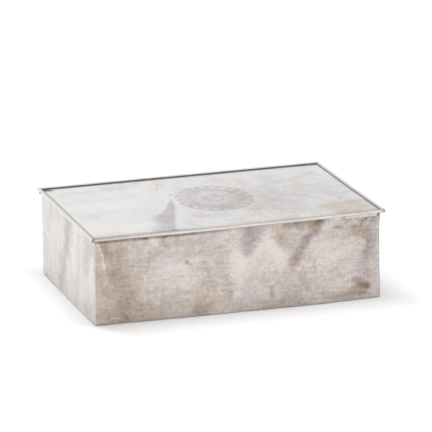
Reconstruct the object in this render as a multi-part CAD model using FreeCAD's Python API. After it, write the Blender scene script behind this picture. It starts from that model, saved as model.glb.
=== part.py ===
import FreeCAD, Part
import math
import os

from FreeCAD import Vector

# A low rectangular box of sheet silver with a flat hinged lid. Millimetres, +Z up, the front faces
# -Y. The origin lies under the middle of the box, on the surface that it stands on.

# Driving dimensions of the body, measured outside the walls.
BOX_LENGTH = 260.0
BOX_DEPTH = 160.0
WALL_HEIGHT = 76.0
WALL_SHEET = 0.9
BASE_SHEET = 0.9
CORNER_SOFTNESS = 1.6

# The lid is a flat sheet framed by a round wire. The wire stands proud of the sheet, hangs a little
# below it and keeps clear of the walls.
LID_SHEET = 1.0
RIM_WIRE_D = 3.0
RIM_DROP = 0.4
RIM_SEAT = 1.2
RIM_WALL_GAP = 0.6

# Locating strips under the lid, inside the front and side walls.
BEZEL_SHEET = 0.9
BEZEL_DEPTH = 4.0
BEZEL_CLEARANCE = 0.35
BEZEL_LEAD_IN = 0.4
BEZEL_HINGE_GAP = 3.0

# The hinge: a row of tube knuckles behind the back wall. The relief is their running clearance, and
# the lid's back rim, which hangs lower than that, takes the tops of the lid's own knuckles.
KNUCKLE_COUNT = 9
KNUCKLE_D = 3.4
KNUCKLE_GAP = 0.2
KNUCKLE_CHAMFER = 0.15
HINGE_STANDOFF = 0.2
HINGE_RELIEF = 0.2
HINGE_END_CLEARANCE = 0.3
PIN_D = 1.5
PIN_CLEARANCE = 0.05
PIN_HEAD_D = 2.2
PIN_HEAD_EDGE = 0.25
PIN_HEAD_DOME = 0.45
PIN_HEAD_FLAT_D = 1.0

# The bearer under the knuckles, a little shorter than the box. Its back edge stops the lid's rim at
# the open angle.
OPEN_ANGLE = 105.0
STOP_GAP = 0.1
BEARER_TOP_DROP = 0.8
BEARER_EDGE = 0.8
BEARER_DROP = 4.0
BEARER_COVE = 0.5
BEARER_END_INSET = 4.0

# Places worked out from the sizes above.
half_length = BOX_LENGTH / 2
half_depth = BOX_DEPTH / 2
wire_r = RIM_WIRE_D / 2
knuckle_r = KNUCKLE_D / 2
pin_r = PIN_D / 2
bore_r = pin_r + PIN_CLEARANCE
lid_overhang = max(RIM_WIRE_D + RIM_WALL_GAP, KNUCKLE_D + HINGE_STANDOFF)
plate_overhang = lid_overhang - RIM_WIRE_D + RIM_SEAT
plate_top = WALL_HEIGHT + LID_SHEET
wire_bottom = WALL_HEIGHT - RIM_DROP
wire_z = wire_bottom + wire_r
hinge_y = half_depth + HINGE_STANDOFF + knuckle_r
hinge_z = WALL_HEIGHT - HINGE_RELIEF - knuckle_r
hinge_half_length = half_length + plate_overhang - HINGE_END_CLEARANCE
knuckle_pitch = 2 * hinge_half_length / KNUCKLE_COUNT

SIDES = ["front", "right", "back", "left"]
KNUCKLE_OWNERS = ["box", "lid"]


def block(half_x, half_y, z_low, z_high):
    """A rectangular block centred on the upright axis."""
    return Part.makeBox(2 * half_x, 2 * half_y, z_high - z_low, Vector(-half_x, -half_y, z_low))


def corners(half_x, half_y):
    """The corners of a centred rectangle, from the front left one, anticlockwise from above."""
    return [(-half_x, -half_y), (half_x, -half_y), (half_x, half_y), (-half_x, half_y)]


def upright_prism(outline, z_low, z_high):
    """A plan outline raised between two heights."""
    points = [Vector(x, y, z_low) for x, y in outline]
    face = Part.Face(Part.makePolygon(points + points[:1]))
    return face.extrude(Vector(0, 0, z_high - z_low))


def mitred_sides(half_x, half_y, width, z_low, z_high):
    """The four sides of a rectangular frame, each cut at 45 degrees where it meets the next."""
    outer = corners(half_x, half_y)
    inner = corners(half_x - width, half_y - width)
    frame = {}
    for i, side in enumerate(SIDES):
        j = (i + 1) % len(SIDES)
        frame[side] = upright_prism([outer[i], outer[j], inner[j], inner[i]], z_low, z_high)
    return frame


def edges_where(shape, test):
    """The straight edges of a shape whose two end points pass a test together."""
    return [edge for edge in shape.Edges if test(edge.Vertexes[0].Point, edge.Vertexes[-1].Point)]


def is_upright(a, b):
    return abs(a.x - b.x) + abs(a.y - b.y) < Part.Precision.confusion()


def hinge_point(back, up):
    """A point in the hinge's own cross-section, measured from the pin's axis."""
    return Vector(0, hinge_y + back, hinge_z + up)


def hinge_cylinder(radius, x_low, x_high):
    """A cylinder on the pin's axis."""
    return Part.makeCylinder(radius, x_high - x_low, Vector(x_low, hinge_y, hinge_z), Vector(1, 0, 0))


def turned_on_pin(edges):
    """A solid turned about the pin's axis from a profile of edges."""
    face = Part.Face(Part.Wire(edges))
    return face.revolve(Vector(0, hinge_y, hinge_z), Vector(1, 0, 0), 360)


def profile_point(x, radius):
    return Vector(x, hinge_y, hinge_z + radius)


def polygon_edges(points):
    """The straight edges that join a run of points."""
    return [Part.LineSegment(a, b).toShape() for a, b in zip(points, points[1:])]


def make_walls():
    """Four sheet walls with the upright corners of the finished box filed slightly round."""
    filed = block(half_length, half_depth, 0, WALL_HEIGHT)
    filed = filed.makeFillet(CORNER_SOFTNESS, edges_where(filed, is_upright))
    walls = mitred_sides(half_length, half_depth, WALL_SHEET, 0, WALL_HEIGHT)
    return {side + "_wall": wall.common(filed) for side, wall in walls.items()}


def make_base():
    """The bottom sheet, let in between the walls and flush with their lower edges."""
    return block(half_length - WALL_SHEET, half_depth - WALL_SHEET, 0, BASE_SHEET)


def make_lid_plate():
    return block(half_length + plate_overhang, half_depth + plate_overhang, WALL_HEIGHT, plate_top)


def knuckle_stations():
    """Whose each knuckle is, box and lid in turn, and its two ends along the hinge."""
    stations = []
    for i in range(KNUCKLE_COUNT):
        start = -hinge_half_length + i * knuckle_pitch
        owner = KNUCKLE_OWNERS[i % len(KNUCKLE_OWNERS)]
        stations.append((owner, start + KNUCKLE_GAP / 2, start + knuckle_pitch - KNUCKLE_GAP / 2))
    return stations


def seat_knuckles(strip, owner):
    """A strip that carries knuckles: a seat for each of its owner's, a hollow past the others."""
    for whose, start, end in knuckle_stations():
        if whose == owner:
            room = hinge_cylinder(knuckle_r, start, end)
        else:
            room = hinge_cylinder(knuckle_r + HINGE_RELIEF, start - KNUCKLE_GAP, end + KNUCKLE_GAP)
        strip = strip.cut(room)
    return strip


def make_rims():
    """The round wire of the lid. A rabbet inside and below takes the edge of the plate."""
    rim_x = half_length + lid_overhang
    rim_y = half_depth + lid_overhang
    wire_x = rim_x - wire_r
    wire_y = rim_y - wire_r
    along = {
        "front": (Vector(-rim_x, -wire_y, wire_z), Vector(1, 0, 0), 2 * rim_x),
        "right": (Vector(wire_x, -rim_y, wire_z), Vector(0, 1, 0), 2 * rim_y),
        "back": (Vector(-rim_x, wire_y, wire_z), Vector(1, 0, 0), 2 * rim_x),
        "left": (Vector(-wire_x, -rim_y, wire_z), Vector(0, 1, 0), 2 * rim_y),
    }
    mitres = mitred_sides(rim_x, rim_y, RIM_WIRE_D, wire_bottom, wire_bottom + RIM_WIRE_D)
    rabbet = block(half_length + plate_overhang, half_depth + plate_overhang, wire_bottom, plate_top)
    rims = {}
    for side, (start, direction, length) in along.items():
        wire = Part.makeCylinder(wire_r, length, start, direction)
        rims["lid_rim_" + side] = wire.common(mitres[side]).cut(rabbet)
    rims["lid_rim_back"] = seat_knuckles(rims["lid_rim_back"], "lid")
    return rims


def make_bezels():
    """Strips under the lid along the front and the sides, with a lead-in at their lower edge."""
    half_x = half_length - WALL_SHEET - BEZEL_CLEARANCE
    half_y = half_depth - WALL_SHEET - BEZEL_CLEARANCE
    low = WALL_HEIGHT - BEZEL_DEPTH
    eased = block(half_x, half_y, low, WALL_HEIGHT)
    lower_edges = edges_where(eased, lambda a, b: max(a.z, b.z) < low + Part.Precision.confusion())
    eased = eased.makeChamfer(BEZEL_LEAD_IN, lower_edges)
    side_end = half_depth - WALL_SHEET - BEZEL_HINGE_GAP
    beside_hinge = Part.makeBox(BOX_LENGTH, BOX_DEPTH, WALL_HEIGHT, Vector(-half_length, side_end, 0))
    strips = mitred_sides(half_x, half_y, BEZEL_SHEET, low, WALL_HEIGHT)
    del strips["back"]
    return {"lid_bezel_" + side: strip.common(eased).cut(beside_hinge) for side, strip in strips.items()}


def make_knuckle(start, end):
    """A length of tube with eased ends."""
    profile = [
        profile_point(start, bore_r),
        profile_point(end, bore_r),
        profile_point(end, knuckle_r - KNUCKLE_CHAMFER),
        profile_point(end - KNUCKLE_CHAMFER, knuckle_r),
        profile_point(start + KNUCKLE_CHAMFER, knuckle_r),
        profile_point(start, knuckle_r - KNUCKLE_CHAMFER),
        profile_point(start, bore_r),
    ]
    return turned_on_pin(polygon_edges(profile))


def make_knuckles():
    """Every knuckle of the row, numbered along the hinge on the box and on the lid."""
    knuckles = {}
    for i, (owner, start, end) in enumerate(knuckle_stations()):
        number = i // len(KNUCKLE_OWNERS) + 1
        knuckles["%s_knuckle_%d" % (owner, number)] = make_knuckle(start, end)
    return knuckles


def make_pin():
    """The hinge pin: a wire as long as the row of knuckles, hammered to a low head at both ends."""
    head_r = PIN_HEAD_D / 2
    flat_r = PIN_HEAD_FLAT_D / 2
    edge = hinge_half_length + PIN_HEAD_EDGE
    tip = edge + PIN_HEAD_DOME
    mid_turn = math.pi / 4

    def shoulder(sign):
        """The round of the head, a quarter of an oval from its edge to the hammered flat."""
        side = profile_point(sign * edge, head_r)
        middle_x = edge + PIN_HEAD_DOME * math.sin(mid_turn)
        middle = profile_point(sign * middle_x, flat_r + (head_r - flat_r) * math.cos(mid_turn))
        return Part.Arc(side, middle, profile_point(sign * tip, flat_r)).toShape()

    shaft = [
        profile_point(-edge, head_r),
        profile_point(-hinge_half_length, head_r),
        profile_point(-hinge_half_length, pin_r),
        profile_point(hinge_half_length, pin_r),
        profile_point(hinge_half_length, head_r),
        profile_point(edge, head_r),
    ]
    core = [
        profile_point(tip, flat_r),
        profile_point(tip, 0),
        profile_point(-tip, 0),
        profile_point(-tip, flat_r),
    ]
    return turned_on_pin(polygon_edges(shaft) + [shoulder(1)] + polygon_edges(core) + [shoulder(-1)])


def stop_height():
    """How far above the pin the bearer's back edge lies, so that the open lid's rim rests on it."""
    swing = math.radians(OPEN_ANGLE)
    wire_back = half_depth + lid_overhang - wire_r - hinge_y
    wire_up = wire_z - hinge_z
    open_back = wire_back * math.cos(swing) + wire_up * math.sin(swing)
    open_up = wire_up * math.cos(swing) - wire_back * math.sin(swing)
    return open_up - math.sqrt(wire_r**2 - (open_back - knuckle_r) ** 2) - STOP_GAP


def make_bearer():
    """The strip on the back wall: a sloping top that the knuckles lie in, an edge, a hollow taper."""
    wall = -knuckle_r - HINGE_STANDOFF
    edge_up = stop_height()
    top = hinge_point(wall, -BEARER_TOP_DROP)
    edge = hinge_point(knuckle_r, edge_up)
    edge_low = hinge_point(knuckle_r, edge_up - BEARER_EDGE)
    foot = hinge_point(wall, edge_up - BEARER_DROP)
    taper = foot - edge_low
    inward = Vector(0, taper.z, -taper.y).normalize()
    hollow = edge_low + taper / 2 + inward * BEARER_COVE
    outline = polygon_edges([foot, top, edge, edge_low])
    outline.append(Part.Arc(edge_low, hollow, foot).toShape())
    bearer_half = half_length - BEARER_END_INSET
    bearer = Part.Face(Part.Wire(outline)).extrude(Vector(2 * bearer_half, 0, 0))
    bearer.translate(Vector(-bearer_half, 0, 0))
    return seat_knuckles(bearer, "box")


pieces = {"base_plate": make_base(), "lid_plate": make_lid_plate()}
pieces.update(make_walls())
pieces.update(make_rims())
pieces.update(make_bezels())
pieces.update(make_knuckles())
pieces["hinge_pin"] = make_pin()
pieces["hinge_bearer"] = make_bearer()

os.makedirs("parts", exist_ok=True)
for name, shape in sorted(pieces.items()):
    solid = shape.Solids[0]
    print("%-16s solids %d valid %s volume %.1f" % (name, len(shape.Solids), solid.isValid(), shape.Volume))
    shape.exportStep(os.path.join("parts", name + ".step"))
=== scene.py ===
import math

import bmesh
import bpy
from mathutils import Matrix, Vector, noise


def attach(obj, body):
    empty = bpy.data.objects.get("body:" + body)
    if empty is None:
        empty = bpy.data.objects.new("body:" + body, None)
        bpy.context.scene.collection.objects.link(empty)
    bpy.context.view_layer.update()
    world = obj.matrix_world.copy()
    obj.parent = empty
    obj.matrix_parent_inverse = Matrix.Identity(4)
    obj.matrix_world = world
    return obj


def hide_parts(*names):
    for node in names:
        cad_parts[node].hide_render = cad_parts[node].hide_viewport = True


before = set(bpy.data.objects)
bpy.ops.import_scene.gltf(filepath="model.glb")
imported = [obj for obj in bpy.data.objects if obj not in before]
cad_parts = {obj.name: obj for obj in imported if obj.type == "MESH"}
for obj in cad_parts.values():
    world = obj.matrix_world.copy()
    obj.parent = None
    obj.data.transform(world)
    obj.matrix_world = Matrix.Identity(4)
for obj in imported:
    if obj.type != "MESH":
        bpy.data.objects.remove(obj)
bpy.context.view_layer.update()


# BASE SHEET
# The bottom of the box: one sheet of silver let in between the four walls and soldered there.
# It has sagged with age, so the box stands on its middle and its corners are a hair off the table.
MM = 0.001
BOX_HALF_LENGTH = 130.0
BOX_HALF_DEPTH = 80.0
WALL_HEIGHT = 76.0
SHEET = 0.9
FRONT_BULGE = 3.0
BACK_BULGE = 1.0
END_BULGE = 1.1
CORNER_LIFT = 0.6
RIGHT_CORNER_IN = 0.65
RIGHT_FOOT_OUT = 0.5
SPLAY_Y = 3.4
BACK_CORNER_OUT = 0.7
BACK_CORNER_LIFT = 0.8
BASE_PITCH = 4.0
SHARP_ANGLE = math.radians(35)
BASE_FILM = 0.1
BASE_EDGE_FILM = 0.4
CLOUD_SCALE = 30.0
BLOTCH_SCALE = 95.0
GRAIN_SCALE = 290.0
FINE_GRAIN_SCALE = 700.0
PIT_SCALE = 240.0
TINT_SCALE = 44.0
SWELL_SCALE = 55.0


def smooth_step(low, high, value):
    """0 below low, 1 above high and an easy turn between them."""
    share = min(max((value - low) / (high - low), 0.0), 1.0)
    return share * share * (3.0 - 2.0 * share)


def splay_share(x, y):
    """1 at the right front corner, whose foot is knocked forward, falling to 0 away from it."""
    return smooth_step(-40.0, 130.0, x) * smooth_step(0.0, 80.0, -y) ** 2


def corner_lift(x, y):
    """How far the sagged bottom is off the table at a place in plan."""
    lift = CORNER_LIFT * (x / BOX_HALF_LENGTH) ** 2 * (y / BOX_HALF_DEPTH) ** 2
    lift *= 1.0 - 0.8 * splay_share(x, y)
    return lift + BACK_CORNER_LIFT * smooth_step(60.0, 130.0, -x) * smooth_step(20.0, 80.0, y)


def knocked(spot):
    """A place on the straight box, moved as far as its two knocked corners have gone."""
    low = 1.0 - spot.z / WALL_HEIGHT
    right = splay_share(spot.x, spot.y)
    pinched = right * smooth_step(0.0, 14.0, WALL_HEIGHT - spot.z)
    back = smooth_step(20.0, 130.0, -spot.x) * smooth_step(0.0, 80.0, spot.y)
    lift = corner_lift(spot.x, spot.y) * low
    out_x = -RIGHT_CORNER_IN * pinched - BACK_CORNER_OUT * back
    out_x += RIGHT_FOOT_OUT * right * (1.0 - smooth_step(4.0, 34.0, spot.z))
    return spot + Vector((out_x, -SPLAY_Y * right * low, lift))


def front_bulge(x):
    """How far the lower edge of the front wall has moved out, most a little right of its middle."""
    along = x / BOX_HALF_LENGTH
    return FRONT_BULGE * max(1.0 - along * along, 0.0) * (1.0 + 0.5 * along)


def plain_bulge(most, along):
    return most * max(1.0 - along * along, 0.0)


def add_node(tree, kind, inputs=None, **settings):
    """A shader node with its settings, and its inputs given as values or as sockets to link."""
    made = tree.nodes.new(kind)
    for name, value in settings.items():
        setattr(made, name, value)
    for name, value in (inputs or {}).items():
        if isinstance(value, bpy.types.NodeSocket):
            tree.links.new(value, made.inputs[name])
        else:
            made.inputs[name].default_value = value
    return made


def add_math(tree, operation, a, b=0.5, c=0.5):
    made = add_node(tree, "ShaderNodeMath", {0: a, 1: b, 2: c}, operation=operation)
    return made.outputs[0]


def add_range(tree, value, low, high, to_low=0.0, to_high=1.0):
    """A value eased from one range to another."""
    inputs = {"Value": value, "From Min": low, "From Max": high, "To Min": to_low, "To Max": to_high}
    made = add_node(tree, "ShaderNodeMapRange", inputs, interpolation_type="SMOOTHSTEP")
    return made.outputs["Result"]


def add_mix(tree, share, a, b):
    """A colour between two."""
    made = add_node(tree, "ShaderNodeMix", data_type="RGBA", clamp_factor=True)
    for index, value in ((0, share), (6, a), (7, b)):
        if isinstance(value, bpy.types.NodeSocket):
            tree.links.new(value, made.inputs[index])
        else:
            made.inputs[index].default_value = value
    return made.outputs[2]


def add_noise(tree, place, scale, detail, roughness=0.55, distortion=0.0):
    inputs = {"Vector": place, "Scale": scale, "Detail": detail}
    inputs.update({"Roughness": roughness, "Distortion": distortion})
    return add_node(tree, "ShaderNodeTexNoise", inputs).outputs[0]


def new_group(name, inputs, outputs):
    """An empty shader group with its sockets, and its input and output nodes."""
    tree = bpy.data.node_groups.new(name, "ShaderNodeTree")
    for socket, kind in inputs.items():
        tree.interface.new_socket(socket, in_out="INPUT", socket_type=kind)
    for socket, kind in outputs.items():
        tree.interface.new_socket(socket, in_out="OUTPUT", socket_type=kind)
    entry = tree.nodes.new("NodeGroupInput").outputs
    leave = tree.nodes.new("NodeGroupOutput").inputs
    return tree, entry, leave


def make_film_group():
    """Tarnish: a brown to mauve film in clouds, blotches, wipe marks and grains over silver, and pits."""
    inputs = {"Bright": "NodeSocketColor", "Brown": "NodeSocketColor", "Mauve": "NodeSocketColor"}
    inputs.update({"Thick": "NodeSocketColor", "Amount": "NodeSocketFloat", "Tint": "NodeSocketFloat"})
    inputs.update({"Mottle": "NodeSocketFloat", "Stretch": "NodeSocketVector", "Pits": "NodeSocketFloat"})
    inputs["Grain"] = "NodeSocketFloat"
    outputs = {"Color": "NodeSocketColor", "Film": "NodeSocketFloat"}
    tree, entry, leave = new_group("tarnish film", inputs, outputs)
    place = add_node(tree, "ShaderNodeTexCoord").outputs["Object"]
    wiped = add_node(tree, "ShaderNodeMapping", {"Vector": place, "Scale": entry["Stretch"]}).outputs[0]
    grain = add_math(tree, "MULTIPLY_ADD", add_noise(tree, place, GRAIN_SCALE, 3.0, 0.6, 0.7), 1.1, -0.9)
    grain = add_math(tree, "MULTIPLY_ADD", add_noise(tree, place, FINE_GRAIN_SCALE, 2.0, 0.6), 0.7, grain)
    unevenness = add_math(tree, "MULTIPLY_ADD", grain, entry["Grain"], -1.53)
    for layer, weight in (
        (add_noise(tree, place, CLOUD_SCALE, 4.0, 0.55, 0.8), 1.0),
        (add_noise(tree, place, BLOTCH_SCALE, 5.0, 0.62, 1.2), 0.8),
        (add_noise(tree, wiped, 1.0, 4.0, 0.6, 0.3), 1.25),
    ):
        unevenness = add_math(tree, "MULTIPLY_ADD", layer, weight, unevenness)
    cells = add_node(tree, "ShaderNodeTexVoronoi", {"Vector": place, "Scale": PIT_SCALE})
    chance = add_node(tree, "ShaderNodeSeparateColor", {"Color": cells.outputs["Color"]}).outputs[0]
    chosen = add_range(tree, chance, 0.965, 0.99)
    pit = add_range(tree, cells.outputs["Distance"], 0.3, 0.08)
    pit = add_math(tree, "MULTIPLY", pit, chosen)
    film = add_math(tree, "MULTIPLY_ADD", unevenness, entry["Mottle"], entry["Amount"])
    film = add_math(tree, "MULTIPLY_ADD", pit, entry["Pits"], film)
    thin = add_range(tree, film, -0.2, 1.1)
    thick = add_range(tree, film, 0.8, 1.9)
    tint = add_noise(tree, place, TINT_SCALE, 3.0, 0.55, 0.5)
    tint = add_math(tree, "MULTIPLY_ADD", entry["Tint"], 0.2, tint)
    tint = add_range(tree, tint, 0.4, 0.66)
    colour = add_mix(tree, tint, entry["Brown"], entry["Mauve"])
    colour = add_mix(tree, thin, entry["Bright"], colour)
    tree.links.new(add_mix(tree, thick, colour, entry["Thick"]), leave["Color"])
    tree.links.new(thin, leave["Film"])
    return tree


def make_hairline_group():
    """Polishing hairlines along the sheet, a few stray scratches across it and a soft hammered swell."""
    inputs = {"Stretch": "NodeSocketVector", "Stray": "NodeSocketVector"}
    outputs = {"Lines": "NodeSocketFloat", "Height": "NodeSocketFloat"}
    tree, entry, leave = new_group("polishing hairlines", inputs, outputs)
    place = add_node(tree, "ShaderNodeTexCoord").outputs["Object"]
    along = add_node(tree, "ShaderNodeMapping", {"Vector": place, "Scale": entry["Stretch"]})
    fine = add_noise(tree, along.outputs[0], 1.0, 3.0, 0.65)
    across = add_node(tree, "ShaderNodeMapping", {"Vector": place, "Rotation": entry["Stray"]})
    across = add_node(tree, "ShaderNodeMapping", {"Vector": across.outputs[0], "Scale": entry["Stretch"]})
    stray = add_noise(tree, across.outputs[0], 0.6, 2.0, 0.5)
    stray = add_range(tree, stray, 0.66, 0.74)
    swell = add_noise(tree, place, SWELL_SCALE, 2.0, 0.4)
    lines = add_math(tree, "MULTIPLY_ADD", stray, 0.5, fine)
    height = add_math(tree, "MULTIPLY_ADD", swell, 3.0, lines)
    tree.links.new(lines, leave["Lines"])
    tree.links.new(height, leave["Height"])
    return tree


film_group = make_film_group()
hairline_group = make_hairline_group()
STREAKS_ALONG_X = (14.0, 900.0, 900.0)
WIPED_ALONG_X = (45.0, 400.0, 400.0)
STRAY_TURN = (0.5, 0.9, 0.6)
HAIRLINE_DULLING = 0.1
HAIRLINE_STRENGTH = 0.4
HAIRLINE_DEPTH = 0.00015


def silver_finish(
    name, colours, mottle, pits, roughness, dulling,
    amount=None, streaks=STREAKS_ALONG_X, wiped=WIPED_ALONG_X, grain=1.0,
):
    """Worn silver. The film's amount is a value, or None where the piece has it painted on."""
    made = bpy.data.materials.new(name)
    made.use_nodes = True
    tree = made.node_tree
    tree.nodes.clear()
    tarnish = add_node(tree, "ShaderNodeGroup", node_tree=film_group)
    for socket, value in zip(("Bright", "Brown", "Mauve", "Thick"), colours):
        tarnish.inputs[socket].default_value = (*value, 1.0)
    tarnish.inputs["Mottle"].default_value = mottle
    tarnish.inputs["Pits"].default_value = pits
    tarnish.inputs["Stretch"].default_value = wiped
    tarnish.inputs["Grain"].default_value = grain
    if amount is None:
        for socket, layer in (("Amount", "film"), ("Tint", "tint")):
            painted = add_node(tree, "ShaderNodeAttribute", attribute_name=layer).outputs["Fac"]
            tree.links.new(painted, tarnish.inputs[socket])
    else:
        tarnish.inputs["Amount"].default_value = amount
    hairlines = add_node(tree, "ShaderNodeGroup", node_tree=hairline_group)
    hairlines.inputs["Stretch"].default_value = streaks
    hairlines.inputs["Stray"].default_value = STRAY_TURN
    dull = add_math(tree, "MULTIPLY_ADD", tarnish.outputs["Film"], dulling, roughness)
    dull = add_math(tree, "MULTIPLY_ADD", hairlines.outputs["Lines"], HAIRLINE_DULLING, dull)
    bump = add_node(tree, "ShaderNodeBump", {"Height": hairlines.outputs["Height"]})
    bump.inputs["Strength"].default_value = HAIRLINE_STRENGTH
    bump.inputs["Distance"].default_value = HAIRLINE_DEPTH
    inputs = {"Base Color": tarnish.outputs["Color"], "Roughness": dull, "Normal": bump.outputs[0]}
    shader = add_node(tree, "ShaderNodeBsdfPrincipled", inputs)
    shader.inputs["Metallic"].default_value = 1.0
    out = add_node(tree, "ShaderNodeOutputMaterial")
    tree.links.new(shader.outputs[0], out.inputs[0])
    return made


def stand_piece(name, sheet, body, node, finish, edge_round=0.12):
    """A finished bmesh in millimetres as an object that stands for a CAD node and rides its body."""
    bmesh.ops.scale(sheet, vec=(MM, MM, MM), verts=sheet.verts)
    for face in sheet.faces:
        face.smooth = True
    for edge in sheet.edges:
        edge.smooth = edge.calc_face_angle(0.0) < SHARP_ANGLE
    mesh = bpy.data.meshes.new(name)
    sheet.to_mesh(mesh)
    sheet.free()
    piece = bpy.data.objects.new(name, mesh)
    bpy.context.scene.collection.objects.link(piece)
    mesh.materials.append(finish)
    if edge_round:
        eased = piece.modifiers.new("eased edges", "BEVEL")
        eased.width = edge_round * MM
        eased.segments = 2
        eased.limit_method = "ANGLE"
        eased.angle_limit = SHARP_ANGLE
    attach(piece, body)
    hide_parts(node)
    return piece


def flat_sheet(width, height, thickness, columns, rows, loops=(), low_loops=()):
    """A flat sheet of small faces: width along X, height along Y, its thickness along Z from 0."""
    sheet = bmesh.new()
    bmesh.ops.create_grid(sheet, x_segments=columns, y_segments=rows, size=0.5)
    bmesh.ops.scale(sheet, vec=(width, height, 1.0), verts=sheet.verts)
    cuts = [((x, 0, 0), (1, 0, 0)) for x in loops]
    cuts += [((0, up - height / 2, 0), (0, 1, 0)) for up in low_loops]
    for spot, across in cuts:
        everything = sheet.verts[:] + sheet.edges[:] + sheet.faces[:]
        bmesh.ops.bisect_plane(sheet, geom=everything, dist=1e-4, plane_co=spot, plane_no=across)
    raised = bmesh.ops.extrude_face_region(sheet, geom=sheet.faces[:])
    other_side = [item for item in raised["geom"] if isinstance(item, bmesh.types.BMVert)]
    bmesh.ops.translate(sheet, vec=(0, 0, thickness), verts=other_side)
    return sheet


def form_sheet(sheet, place, film):
    """The flat sheet beaten to its place, with the amount of tarnish and its tint painted on it."""
    amounts = sheet.verts.layers.float.new("film")
    tints = sheet.verts.layers.float.new("tint")
    for vert in sheet.verts:
        x, y, depth = vert.co
        vert[amounts], vert[tints] = film(x, y, depth)
        vert.co = place(x, y, depth)
    bmesh.ops.remove_doubles(sheet, verts=sheet.verts, dist=1e-3)
    bmesh.ops.recalc_face_normals(sheet, faces=sheet.faces)


def place_base(x, y, depth):
    side_y = BOX_HALF_DEPTH - SHEET
    side_x = BOX_HALF_LENGTH - SHEET
    along_y = y / side_y
    along_x = x / side_x
    out_y = -front_bulge(x) if y < 0 else plain_bulge(BACK_BULGE, along_x)
    out_x = math.copysign(plain_bulge(END_BULGE, along_y), x)
    return knocked(Vector((x + out_x * along_x**2, y + out_y * along_y**2, depth)))


def film_base(x, y, depth):
    corner = max(abs(x) / BOX_HALF_LENGTH, abs(y) / BOX_HALF_DEPTH)
    return BASE_FILM + BASE_EDGE_FILM * smooth_step(0.86, 1.0, corner), 0.0


INSIDE_COLOURS = [(0.74, 0.7, 0.66), (0.5, 0.43, 0.375), (0.52, 0.465, 0.45), (0.225, 0.172, 0.135)]
inside_finish = silver_finish(
    "silver of the inside", INSIDE_COLOURS,
    mottle=0.55, pits=0.4, roughness=0.2, dulling=0.14, grain=0.5,
)
base_length = 2 * (BOX_HALF_LENGTH - SHEET)
base_depth = 2 * (BOX_HALF_DEPTH - SHEET)
base = flat_sheet(
    base_length, base_depth, SHEET, round(base_length / BASE_PITCH), round(base_depth / BASE_PITCH)
)
form_sheet(base, place_base, film_base)
stand_piece("base_sheet", base, "box", "base_plate", inside_finish)


# FRONT WALL
# A plain wall of sheet silver, soldered to its neighbours at mitred corners that are filed slightly
# round. It has been knocked and pressed out over the years: a crease near each end, ridges and dents.
WALL_PITCH = 0.95
CORNER_ROUND = 1.6
FOOT_HEIGHT = 1.5
FOOT_ROUND = 0.7
FOOT_LOOPS = (0.2, 0.5, 1.4)
BODY_COLOURS = [(0.72, 0.672, 0.628), (0.46, 0.378, 0.32), (0.475, 0.415, 0.41), (0.225, 0.172, 0.135)]
FRONT_FILM = 0.54
STRIP_FILM = 0.61
RIDGE_SIDE_SHADE = 0.12
FOOT_SHADE_PAINT = 0.15
RIM_SHADOW_PAINT = 0.7
TOP_EDGE_HIGHLIGHT = 0.4
CORNER_SHADOW_PAINT = 2.4
CRUMPLE_WEAR_AND_SHADE = 0.3
CRUMPLE_MEAN = 0.3
INSIDE_FILM = 0.1
INSIDE_LOW_FILM = 0.3
CRUMPLE_HEIGHT = 0.9
LEFT_FACET_DEPTH = 0.75
RIGHT_FACET_DEPTH = 0.4
RIDGE_HEIGHT = 0.55
RIDGE_REACH = 9.0
FRONT_DENTS = [
    # x, z, half width, half height, depth outward
    (85.0, 44.0, 26.0, 26.0, -1.0),
    (-60.0, 45.0, 34.0, 26.0, -0.8),
    (9.0, 60.0, 12.0, 14.0, -0.5),
    (29.0, 17.0, 4.0, 5.0, -0.25),
    (-113.0, 5.0, 5.0, 3.0, -0.3),
    (-121.0, 38.0, 3.0, 4.0, -0.35),
    (-47.0, 49.0, 3.0, 3.0, -0.25),
]
# Tarnish, and painted light: most entries with a negative amount lighten the sheet over its dents, ridges
# and creases for the light they catch.
FRONT_STAINS = [
    # x, z, half width, half height, amount, tint from brown at -1 to mauve at 1
    (-110.0, 28.0, 26.0, 34.0, 0.33, -0.4),
    (-105.0, 22.0, 10.0, 11.0, 0.16, -0.5),
    (-111.0, 40.0, 6.0, 7.0, 0.16, 0.6),
    (-119.5, 39.0, 3.5, 4.5, -0.3, 0.0),
    (-119.5, 67.0, 6.5, 10.0, 0.58, -0.3),
    (-108.0, 62.0, 10.0, 10.0, 0.24, -0.3),
    (-74.5, 70.0, 4.0, 5.0, -0.32, 0.4),
    (-82.5, 72.5, 4.5, 3.0, 0.3, 0.0),
    (-66.5, 71.0, 3.0, 4.5, 0.3, -0.3),
    (-56.0, 69.5, 12.0, 5.0, 0.14, -0.5),
    (-62.0, 42.0, 36.0, 20.0, -0.28, 0.1),
    (-66.0, 18.0, 26.0, 6.0, 0.2, -0.6),
    (-70.0, 7.0, 60.0, 9.0, 0.16, -0.2),
    (-28.0, 8.0, 20.0, 7.0, 0.12, 0.0),
    (38.0, 5.0, 32.0, 11.0, 0.26, 0.1),
    (-30.0, 48.0, 4.5, 6.0, 0.3, 0.3),
    (85.0, 42.0, 28.0, 22.0, -0.16, 0.2),
    (103.0, 7.0, 22.0, 7.0, 0.28, -0.8),
    (43.0, 4.0, 14.0, 5.0, 0.2, 0.2),
    (108.0, 68.0, 24.0, 7.0, 0.22, 0.8),
    (122.0, 54.0, 9.0, 17.0, 0.46, 1.2),
    (12.0, 42.0, 28.0, 17.0, -0.26, 0.2),
    (33.0, 63.0, 5.5, 6.0, 0.2, 0.2),
    (57.6, 60.2, 3.0, 2.5, 0.22, 0.1),
]
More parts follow.
